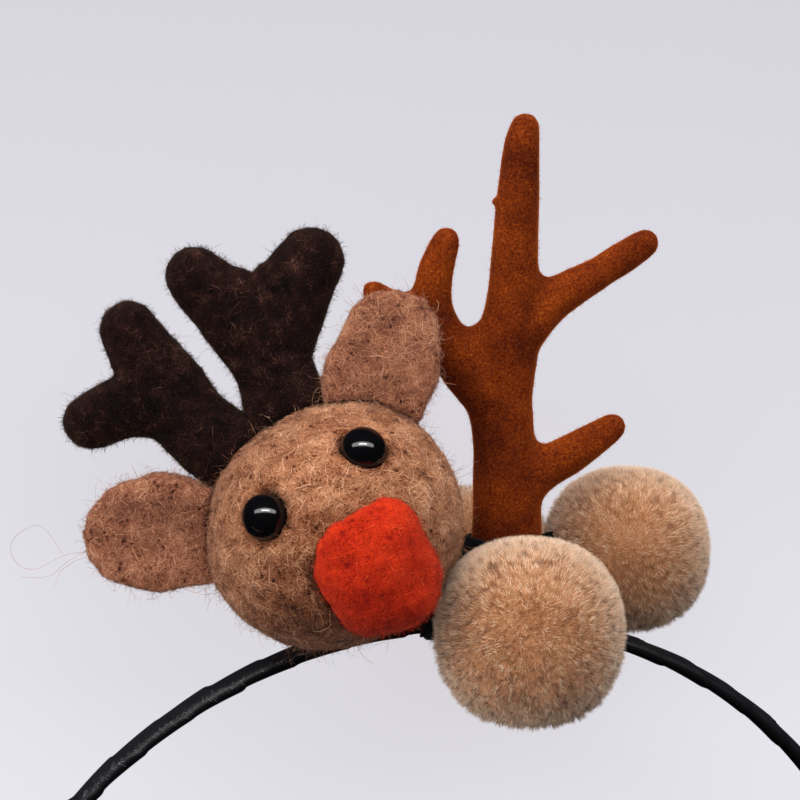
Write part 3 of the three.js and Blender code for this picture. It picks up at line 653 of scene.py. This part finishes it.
def hoopLine(along):  # the centreline at distances in mm from the crown: places, ways out, headings
    side, length = np.sign(along), np.abs(along)
    radius, legRadius = upright["crownRadius"], woundHoop["legRadius"]
    start = crownArc / radius
    turn = np.where(length < crownArc, length / radius, start + (length - crownArc) / legRadius)
    onLeg = length > crownArc
    across = np.where(onLeg, radius * np.sin(start) + legRadius * (np.sin(turn) - np.sin(start)),
                      radius * np.sin(turn))
    up = np.where(onLeg, radius * (np.cos(start) - 1) + legRadius * (np.cos(turn) - np.cos(start)),
                  radius * (np.cos(turn) - 1))
    flat = np.zeros_like(turn)
    place = np.stack((side * across, flat, up), axis=-1)
    out = np.stack((side * np.sin(turn), flat, np.cos(turn)), axis=-1)
    heading = np.stack((np.cos(turn), flat, -side * np.sin(turn)), axis=-1)
    return place, out, heading


def onHoop(along, angle, grow, hoop):  # a place on the band: angle 0 is its outside, 90 its back
    place, out, _ = hoopLine(along)
    back = np.array((0.0, 1.0, 0.0))
    squared = [np.sign(f) * np.abs(f) ** hoop["squared"] for f in (np.cos(angle), np.sin(angle))]
    return (place + out * (squared[0] * (hoop["thick"] / 2 + grow))[..., None]
            + back * (squared[1] * (hoop["wide"] / 2 + grow))[..., None])


def hoopPiece(hoop):
    rng = np.random.default_rng(hoop["seed"])
    along, angle = np.meshgrid(np.linspace(-hoopHalf, hoopHalf, hoop["rings"]),
                               2 * np.pi * np.arange(hoop["sides"]) / hoop["sides"], indexing="ij")
    turn = (along + hoop["slant"] * np.cos(angle - hoop["slantTurn"])) / hoop["pitch"]
    number = np.floor(turn).astype(int) - math.floor(-hoopHalf / hoop["pitch"]) + 2
    count = number.max() + 2  # every point knows the number of its turn of ribbon, counted from a tip
    fat, late = rng.uniform(*hoop["stepUneven"], count), rng.uniform(0, hoop["lapUneven"], count)
    phase = np.mod(turn, 1)
    ramp = np.clip((phase - late[number]) / (1 - late[number]), 0, 1)
    lap = np.clip((1 - phase) * hoop["pitch"] / hoop["lap"], 0, 1)
    grow = hoop["step"] * (fat[number] * ramp * lap - hoop["sunk"])
    grow = grow + hoop["wrinkle"] * np.sin(angle * 2 + number * 1.7)  # turned on from turn to turn
    fromEnd = np.clip((hoopHalf - np.abs(along)) / hoop["endTaper"], 0, 1)
    grow = grow - (hoop["thick"] / 2 + grow) * (1 - np.sqrt(1 - (1 - fromEnd) ** 2))
    verts = fromUpright(onHoop(along, angle, grow, hoop)).reshape(-1, 3)
    sides, rings = hoop["sides"], hoop["rings"]
    ring, side = np.meshgrid(np.arange(rings - 1) * sides, np.arange(sides), indexing="ij")
    a, b = ring + side, ring + (side + 1) % sides
    tris = np.stack((a, a + sides, b + sides, a, b + sides, b), axis=-1).reshape(-1, 3)
    last = (rings - 1) * sides
    caps = [(0, i, i + 1) for i in range(1, sides - 1)] + [(last, last + i + 1, last + i)
                                                             for i in range(1, sides - 1)]
    # painted light and shade: paler on the outer face, darker on the inner face and in the step under each
    # lap
    tones = hoop["tone"] + hoop["paintedOuterLight"] * np.cos(angle) - hoop["paintedLapShade"] * (1 - lap)
    band = skinPart(verts, np.concatenate((tris, caps)), tones.ravel())
    band["along"] = (along / hoop["threadAlong"]).ravel()
    band["around"] = (phase * hoop["pitch"] / hoop["threadAcross"]).ravel()
    count = hoop["frayed"]
    start = rng.uniform(*hoop["frayedReach"], count)
    bearing = math.radians(hoop["frayedAngle"]) + rng.normal(0, hoop["frayedSpread"], count)
    length, slant = rng.uniform(*hoop["frayLength"], count), rng.normal(0, hoop["fraySlant"], count)
    paths, shares = [], (0, 0.35, 0.7, 1)
    for share in shares:
        rise = (hoop["step"] * hoop["sunk"] + hoop["frayRise"] * math.sin(math.pi * share)
                + rng.normal(0, hoop["frayUneven"], count))
        paths.append(onHoop(start + share * length, bearing + slant * share, rise, hoop))
    paths = fromUpright(np.stack(paths, axis=1))
    out = unit(paths[:, :1] - fromUpright(hoopLine(start)[0])[:, None])
    out = np.repeat(out, len(shares), axis=1)
    tones = np.repeat(rng.uniform(*hoop["frayTone"], count)[:, None], len(shares), axis=1)
    frayed = strandPart(paths, rng.uniform(*hoop["frayThick"], count) * mm, out, tones)
    frayed["along"] = frayed["around"] = np.zeros(len(frayed["verts"]))
    addPiece("ribbon_wound_hoop", [band, frayed], satinRibbon, "hoop",
             ("along", "around"))


hoopPiece(woundHoop)
print("hoop made")

# Lashing

# Spun black yarn bound round the hoop and the antler's foot: matt black, hairy
blackYarn = fibreMaterial("spunBlackYarn", {
    "colours": [(0.0, "#020203"), (0.4, "#08080a"), (0.75, "#151518"), (1.0, "#333236")],
    "mottle": 2.0, "mottleStrength": 0.3, "curlSize": 1.2, "curlLines": 14.0, "curlStrength": 0.4,
    "pitSpacing": 2.0, "paintedPitShade": 0.1, "bump": 0.1, "sheen": 0.03, "sheenTint": "#ffffff"})

boundYarn = {
    "seed": 60, "voxel": 0.5, "passes": 4, "middle": 7.4,  # its middle in degrees along the crown
    "half": 13, "footBack": 2, "endRoom": 0.5, "rayFrom": 25, "skinTone": 0.3,
    "bulges": [(14.2, 12.5, 4.5, -1.6), (8.0, 13.0, 4, -0.8)],
    "thick": 0.8, "pitch": 0.85, "points": 30, "sunk": 0.3, "footFrom": 1.5, "footTo": 12, "wander": 0.25,
    "slope": 0.15, "tone": 0.45, "plyTone": 0.1, "toneSpread": 0.05,
    "hairs": {"count": 2400, "steps": 4, "length": (0.5, 2.2), "curl": 0.8, "stand": 0.6,
              "thick": (0.04, 0.08), "tone": 0.5},
}


def woundThread(tree, origins, centres, yarn, rng):  # a thread laid where rays to the middle meet a skin
    points, ways = [], []
    for origin, centre in zip(fromUpright(origins), fromUpright(centres)):
        way = unit(centre - origin)
        hit, normal, _, _ = tree.ray_cast(Vector(origin), Vector(way))
        if hit is not None:
            points.append(np.array(hit))
            ways.append(np.array(normal))
    points = np.array(points)
    points[1:-1] = (points[:-2] + 2 * points[1:-1] + points[2:]) / 4
    tones = (yarn["tone"] + yarn["plyTone"] * np.sin(np.arange(len(points)) * 1.9)
             + rng.normal(0, yarn["toneSpread"], len(points)))
    return strandPart(points[None], np.array([yarn["thick"] * mm]), np.array(ways)[None], tones[None],
                      sides=6, soft=0.1)


def lashingPiece(yarn):
    rng = np.random.default_rng(yarn["seed"])
    skin = smoothSkin("lashing", yarn["voxel"], yarn["passes"])
    grow = (bulgeOut(skin["verts"], yarn["bulges"]) - yarn["sunk"])[:, None]
    skin = skinPart(skin["verts"] + skin["normals"] * grow * mm, skin["tris"],
                    np.full(len(skin["verts"]), yarn["skinTone"]))
    tree = treeOf(skin["verts"], skin["tris"])
    middle = math.radians(yarn["middle"]) * upright["crownRadius"]
    count = int(2 * yarn["half"] / yarn["pitch"] * yarn["points"])
    angle = np.arange(count) * 2 * np.pi / yarn["points"]
    along = np.linspace(middle - yarn["half"] + yarn["endRoom"], middle + yarn["half"] - yarn["endRoom"],
                        count)
    along = along + yarn["wander"] * np.sin(angle * 0.53)
    place, out, _ = hoopLine(along)
    far = out * np.cos(angle)[:, None] + np.array((0.0, 1.0, 0.0)) * np.sin(angle)[:, None]
    bound = woundThread(tree, place + yarn["rayFrom"] * far, place, yarn, rng)
    count = int((yarn["footTo"] - yarn["footFrom"]) / yarn["pitch"] * yarn["points"])
    angle = np.arange(count) * 2 * np.pi / yarn["points"]
    foot = onCrown(math.radians(yarn["middle"]), 0, yarn["footBack"])
    rise = np.linspace(yarn["footFrom"], yarn["footTo"], count) + yarn["wander"] * np.sin(angle * 0.61)
    centres = foot + np.stack((np.zeros(count), np.zeros(count), rise), axis=1)
    around = np.stack((np.cos(angle), np.sin(angle), yarn["slope"] * np.sin(angle + 1)), axis=1)
    footing = woundThread(tree, centres + yarn["rayFrom"] * around, centres, yarn, rng)
    addPiece("bound_yarn_lashing", [skin, bound, footing, looseHairs(rng, skin, yarn["hairs"])],
             blackYarn, "lashing")


lashingPiece(boundYarn)
print("lashing made")

# Flocked antler

# Nylon flock blown on to moulded plastic: a rust-brown nap that turns orange towards its edges,
# where the standing fibres catch the light, with a fine grain and darker brushed patches. Real flock
# is 0.02 mm thick and too fine to show, so its fibres are drawn 0.05 to 0.08 mm thick
flockNap, tree = newMaterial("nylonFlockOnPlastic")
place = addNode(tree, "ShaderNodeTexCoord", out="Object")
brushed = addNode(tree, "ShaderNodeTexNoise", {
    "Vector": place, "Scale": perMetre(7), "Detail": 5.0, "Roughness": 0.7, "Distortion": 0.3})
grain = addNode(tree, "ShaderNodeTexNoise", {"Vector": place, "Scale": perMetre(0.32), "Detail": 2.0})
tone = addNode(tree, "ShaderNodeAttribute", out="Fac", attribute_name="tone")
wide = addNode(tree, "ShaderNodeMath", {0: brushed, 1: 0.75, 2: -0.37}, operation="MULTIPLY_ADD")
fine = addNode(tree, "ShaderNodeMath", {0: grain, 1: 0.8, 2: -0.4}, operation="MULTIPLY_ADD")
uneven = addNode(tree, "ShaderNodeMath", {0: wide, 1: fine}, operation="ADD")
shade = addNode(tree, "ShaderNodeMath", {0: tone, 1: uneven}, operation="ADD", use_clamp=True)
colour = addNode(tree, "ShaderNodeValToRGB", {"Fac": shade}, stops=[
    (0.0, "#210803"), (0.35, "#491705"), (0.6, "#702c0a"), (0.85, "#9a4a11"), (1.0, "#c27026")])
bump = addNode(tree, "ShaderNodeBump", {"Height": grain, "Strength": 0.6, "Distance": 0.08 * mm})
shader = addNode(tree, "ShaderNodeBsdfPrincipled", {
    "Base Color": colour, "Roughness": 0.9, "IOR": 1.5, "Specular IOR Level": 0.05,
    "Sheen Weight": 0.8, "Sheen Roughness": 0.3, "Sheen Tint": linear("#ff8a34"), "Normal": bump})
addNode(tree, "ShaderNodeOutputMaterial", {"Surface": shader})

flockedAntler = {
    "seed": 30, "voxel": 0.45, "passes": 8, "fillet": 1.3, "swell": 0.2, "lumpSize": 6, "lumpDeep": 0.12,
    "bulges": [(25.5, 51.5, 6, 0.4), (4.5, 38.4, 3, 0.3), (6.9, 56.8, 0.8, 0.6)],
    "fibres": 9500, "length": (0.3, 0.55), "thick": (0.05, 0.08), "lean": 0.45, "rooted": 0.05,
    # the lump and root-to-tip values paint light and shade on the flock
    "skinTone": 0.5, "paintedLumpLight": 0.08, "tone": 0.55, "toneSpread": 0.12, "paintedShadeRootToTip": (-0.05, 0.12),
}


def flockedPiece(look):
    rng = np.random.default_rng(look["seed"])
    skin = smoothSkin("flocked_antler", look["voxel"], look["passes"], look["fillet"])
    lump = softNoise(skin["verts"], look["lumpSize"], look["seed"])
    grow = look["swell"] + look["lumpDeep"] * lump + bulgeOut(skin["verts"], look["bulges"])
    # painted light and shade: the skin is paler where it rises and darker where it sinks
    skin = skinPart(skin["verts"] + skin["normals"] * grow[:, None] * mm, skin["tris"],
                    look["skinTone"] + look["paintedLumpLight"] * lump)
    place, out = scatter(rng, skin, look["fibres"])
    way = unit(out + rng.normal(0, look["lean"], place.shape))
    length = rng.uniform(*look["length"], look["fibres"])[:, None] * mm
    paths = np.stack((place - out * look["rooted"] * mm, place + way * length), axis=1)
    # painted shade at the fibres' roots and painted light at their tips
    tones = (rng.normal(look["tone"], look["toneSpread"], look["fibres"])[:, None]
             + np.array(look["paintedShadeRootToTip"]))
    fibres = strandPart(paths, rng.uniform(*look["thick"], look["fibres"]) * mm,
                        np.repeat(out[:, None], 2, axis=1), tones, soft=0.8)
    addPiece("flocked_branching_antler", [skin, fibres], flockNap, "flocked_antler")


flockedPiece(flockedAntler)
print("flocked antler made")

# Pompoms

# Acrylic yarn wound, tied and trimmed to a ball: matt cut ends in crumbs, pale at the tips, with
# shade painted darker at the fibres' roots, in the gaps between the tufts and on the core below them.
# Its single fibres are too fine to show, so each one drawn, 0.16 to 0.26 mm thick, stands for a few of them
trimmedYarn = fibreMaterial("trimmedAcrylicYarn", {
    "colours": [(0.0, "#4a2411"), (0.25, "#8f5a36"), (0.5, "#c28b62"), (0.75, "#deb08a"), (1.0, "#f2d5b6")],
    "mottle": 5.0, "mottleStrength": 0.3, "curlSize": 1.0, "curlLines": 9.0, "curlStrength": 0.15,
    "pitSpacing": 2.0, "paintedPitShade": 0.05, "bump": 0.08, "sheen": 1.0, "sheenTint": "#ffe9d2"})

pompomYarn = {  # clear, tuft, thick and patchSize are in mm, and depths are shares of the radius
    "power": 2.25, "clear": 0.15, "tuft": 1.05, "tuftSpread": 0.3, "tuftUneven": 0.016, "tuftProud": 0.02,
    "warp": 0.7, "warpTufts": 1.6, "domeDeep": 0.035, "core": 0.92, "root": 0.89, "shortest": 0.93,
    "rootSpread": 0.004, "pull": 0.24, "lean": 0.02, "uneven": 0.006, "thick": (0.16, 0.26),
    "rough": 0.75, "roughTurn": 0.85, "roughLeast": 0.25,  # how tufted it is, by the way that it faces
    # the gap and root values paint shade into the ball
    "tone": 0.83, "toneSpread": 0.05, "tuftTone": 0.13, "paintedGapShade": 1.0, "paintedRootShade": -0.08, "tipTone": 0.0,
    # the core value paints the shade deep in the ball
    "paintedCoreShade": -0.5, "patchTone": 0.13, "patchSize": 2.5, "dome": 1.1, "soft": 0.9,
}
# Each ball's radius in mm, and its nudge in mm to the right, up and towards the camera's side. It is
# smoothest on the side that "smooth" points to
pompomBalls = {
    "front": {"size": 12.9, "nudge": (-0.6, -0.5, 0), "points": 6500, "fibres": 42500,
              "smooth": (0.1, 0.95, 0.15), "seed": 41},
    "side": {"size": 12.2, "nudge": (-0.3, -0.1, 0), "points": 4500, "fibres": 31000,
             "smooth": (0.4, 0.7, 0.6), "seed": 42},
    "back": {"size": 12.4, "nudge": (0, 0, 0), "points": 3000, "fibres": 9500,
             "smooth": (0, 0.3, 0.9), "seed": 43},
}
pompomNeighbours = ("hoop", "lashing", "flocked_antler", "reindeer_head", "nose",
                    "pompom_front", "pompom_side", "pompom_back")


def evenDirections(count):  # spread evenly round a ball
    index = np.arange(count) + 0.5
    height = 1 - 2 * index / count
    turn = index * math.pi * (3 - math.sqrt(5))
    ring = np.sqrt(1 - height ** 2)
    return np.stack((ring * np.cos(turn), ring * np.sin(turn), height), axis=1)


def hullTriangles(directions):  # triangles that join points on a ball
    shape = bmesh.new()
    for direction in directions:
        shape.verts.new(Vector(direction))
    shape.verts.index_update()
    bmesh.ops.convex_hull(shape, input=shape.verts)
    bmesh.ops.triangulate(shape, faces=shape.faces)
    tris = np.array([[vert.index for vert in face.verts] for face in shape.faces])
    shape.free()
    a, b, c = (directions[tris[:, corner]] for corner in range(3))
    inward = (np.cross(b - a, c - a) * a).sum(axis=1) < 0
    tris[inward] = tris[inward][:, ::-1]
    return tris


def roomRound(node, centre, directions, reach, clear):  # how far yarn may reach before a neighbour
    room = reach.copy()
    for other in pompomNeighbours:
        if other == node:
            continue
        for i, direction in enumerate(directions):
            hit = nodeTrees[other].ray_cast(Vector(centre), Vector(direction), room[i] + clear * mm)[3]
            if hit is not None:
                room[i] = max(hit - clear * mm, 2 * mm)
    return room


# A pompom: fibres that end on the trimmed ball and lean together in tufts, the cut ends of its yarns
def pompomPiece(which, ball, yarn):
    rng = np.random.default_rng(ball["seed"])
    node = f"pompom_{which}"
    verts, _ = nodeArrays(node)
    radius, size = ball["size"] * mm, ball["size"]
    centre = (verts.min(axis=0) + verts.max(axis=0)) / 2 + np.array(ball["nudge"]) * mm @ viewAxes
    tufts = evenDirections(int(4 * math.pi * (size / yarn["tuft"]) ** 2))
    tufts = unit(tufts + rng.normal(0, yarn["tuftSpread"] * yarn["tuft"] / size, tufts.shape))
    rise = rng.normal(0, yarn["tuftUneven"], len(tufts))
    shade = rng.normal(0, yarn["tuftTone"], len(tufts))
    finder = KDTree(len(tufts))
    for i, tuft in enumerate(tufts):
        finder.insert(Vector(tuft), i)
    finder.balance()

    def trimmed(directions):  # the trimmed ball, a little square, and flat where it lies on the floor
        seen = np.abs(directions @ viewAxes.T)
        square = (seen ** yarn["power"]).sum(axis=1) ** (-1 / yarn["power"])
        return np.minimum(radius * square, centre[2] / np.maximum(-directions[:, 2], 1e-3))

    directions = evenDirections(ball["points"])
    reach = roomRound(node, centre, directions, trimmed(directions) * yarn["core"], 3 * yarn["clear"])
    # painted shade: the core below the fibres is darker, as the shade deep in the ball
    core = skinPart(centre + directions * reach[:, None], hullTriangles(directions),
                    np.full(len(directions), yarn["tone"] + yarn["paintedCoreShade"]))
    root = evenDirections(ball["fibres"])
    root = unit(root + rng.normal(0, yarn["rootSpread"], root.shape))
    warp = np.stack([softNoise(root * radius, yarn["warpTufts"] * yarn["tuft"], 7.7 * axis)
                     for axis in (1, 2, 3)], axis=1)
    warped = unit(root + warp * yarn["warp"] * yarn["tuft"] / size)
    found = [finder.find(Vector(direction)) for direction in warped]
    mine = np.array([f[1] for f in found])
    off = np.minimum(np.array([f[2] for f in found]) * 2 * size / yarn["tuft"], 1.5)  # 1 near its edge
    rough = yarn["rough"] - yarn["roughTurn"] * root @ unit(np.array(ball["smooth"], float))
    rough = np.clip(rough, yarn["roughLeast"], 1)
    tip = unit(root + (rough * yarn["pull"])[:, None] * (tufts[mine] - warped)
               + rng.normal(0, yarn["lean"], root.shape))
    short = yarn["domeDeep"] * off ** 2 - np.minimum(rise[mine], yarn["tuftProud"])
    reach = trimmed(tip) * (1 - rough * short - np.abs(rng.normal(0, yarn["uneven"], len(tip))))
    reach = roomRound(node, centre, tip, reach, yarn["clear"])
    foot = np.minimum(trimmed(root) * yarn["root"], reach * yarn["shortest"])
    paths = np.stack((centre + root * foot[:, None], centre + tip * reach[:, None]), axis=1)
    shade = shade[mine] + yarn["patchTone"] * softNoise(root * radius, yarn["patchSize"], ball["seed"])
    # painted shade: fibres are darker towards the edges of their tufts, in the gaps, and at their roots
    tones = (yarn["tone"] + rough * (shade - yarn["paintedGapShade"] * off ** 3)
             + rng.normal(0, yarn["toneSpread"], len(tip)))
    tones = tones[:, None] + np.array((yarn["paintedRootShade"], yarn["tipTone"]))
    aside = (warped - tufts[mine]) * (rough * yarn["dome"] * size / yarn["tuft"])[:, None]
    cut = strandPart(paths, rng.uniform(*yarn["thick"], len(tip)) * mm,
                     np.repeat(unit(tip + aside)[:, None], 2, axis=1), tones, soft=yarn["soft"])
    cut["tris"] = cut["tris"].reshape(len(tip), 4, 3)[:, 1:].reshape(-1, 3)  # without their hidden feet
    addPiece(f"yarn_pompom_{which}", [core, cut], trimmedYarn, node)


for which, ball in pompomBalls.items():
    pompomPiece(which, ball, pompomYarn)
print("pompoms made")

# Floor and light, not part of the object

floorHalf = 3  # metres
floorCorners = [(-floorHalf, -floorHalf, 0), (floorHalf, -floorHalf, 0),
                (floorHalf, floorHalf, 0), (-floorHalf, floorHalf, 0)]
floorMesh = bpy.data.meshes.new("floor")
floorMesh.from_pydata(floorCorners, [], [(0, 1, 2, 3)])
floor = bpy.data.objects.new("floor", floorMesh)
bpy.context.scene.collection.objects.link(floor)
# Matt pale card that glows a little, so that it carries almost no shadow, and most at the front
paleCard, tree = newMaterial("mattPaleCard")
place = addNode(tree, "ShaderNodeTexCoord", out="Object")
place = addNode(tree, "ShaderNodeSeparateXYZ", {0: place}, out="Y")
glow = addNode(tree, "ShaderNodeMapRange", {
    "Value": place, "From Min": -0.06, "From Max": 0.14, "To Min": 0.76, "To Max": 0.47})
shader = addNode(tree, "ShaderNodeBsdfPrincipled", {
    "Base Color": linear("#66656c"), "Roughness": 0.9, "Specular IOR Level": 0.1,
    "Emission Color": linear("#fbf9ff"), "Emission Strength": glow})
addNode(tree, "ShaderNodeOutputMaterial", {"Surface": shader})
floorMesh.materials.append(paleCard)
floor.visible_glossy = False  # the beads and the ribbon stay dark below

# Lights stand so many metres to the right of, above and before the middle of the object as the camera
# first sees it, and face it
studioLights = [
    {"name": "strip", "place": (0, 0.43, 0.61), "size": (1.7, 0.26), "watts": 7.5, "glossy": True,
     "diffuse": True},
    {"name": "glint", "place": (0, 0.415, 0.6), "size": (0.45, 0.045), "watts": 2.6, "glossy": True,
     "diffuse": False},
    {"name": "left", "place": (-0.65, -0.05, 0.5), "size": (0.5, 0.8), "watts": 3.2, "glossy": False,
     "diffuse": True},
    {"name": "top", "place": (0, 0.8, 0.12), "size": (1.2, 0.4), "watts": 7.5, "glossy": False,
     "diffuse": True},
]
lightsAim = np.array((0, 0.03, 0.02))
for row in studioLights:
    data = bpy.data.lights.new(row["name"], "AREA")
    data.shape = "RECTANGLE"
    data.size, data.size_y = row["size"]
    data.energy = row["watts"]
    light = bpy.data.objects.new(row["name"], data)
    bpy.context.scene.collection.objects.link(light)
    light.visible_glossy, light.visible_diffuse = row["glossy"], row["diffuse"]
    away = np.array(row["place"]) @ viewAxes
    ahead = unit(away)
    across = unit(viewAxes[0] - ahead * (viewAxes[0] @ ahead))
    turned = Matrix(np.array((across, np.cross(ahead, across), ahead)).T.tolist())
    light.matrix_world = Matrix.Translation(lightsAim + away) @ turned.to_4x4()

# Soft light from all round, stronger from above as the camera first sees it
world = bpy.data.worlds.new("studio")
world.use_nodes = True
world.cycles_visibility.glossy = False
tree = world.node_tree
background = tree.nodes["Background"]
background.inputs["Color"].default_value = linear("#eeeef4")
place = addNode(tree, "ShaderNodeTexCoord", out="Generated")
rise = addNode(tree, "ShaderNodeVectorMath", {0: place, 1: tuple(viewAxes[1])}, operation="DOT_PRODUCT",
               out="Value")
glow = addNode(tree, "ShaderNodeMapRange", {
    "Value": rise, "From Min": -1.0, "From Max": 1.0, "To Min": 0.15, "To Max": 0.75})
tree.links.new(glow, background.inputs["Strength"])
bpy.context.scene.world = world
bpy.context.scene.view_settings.view_transform = "Standard"
print("floor and light made")
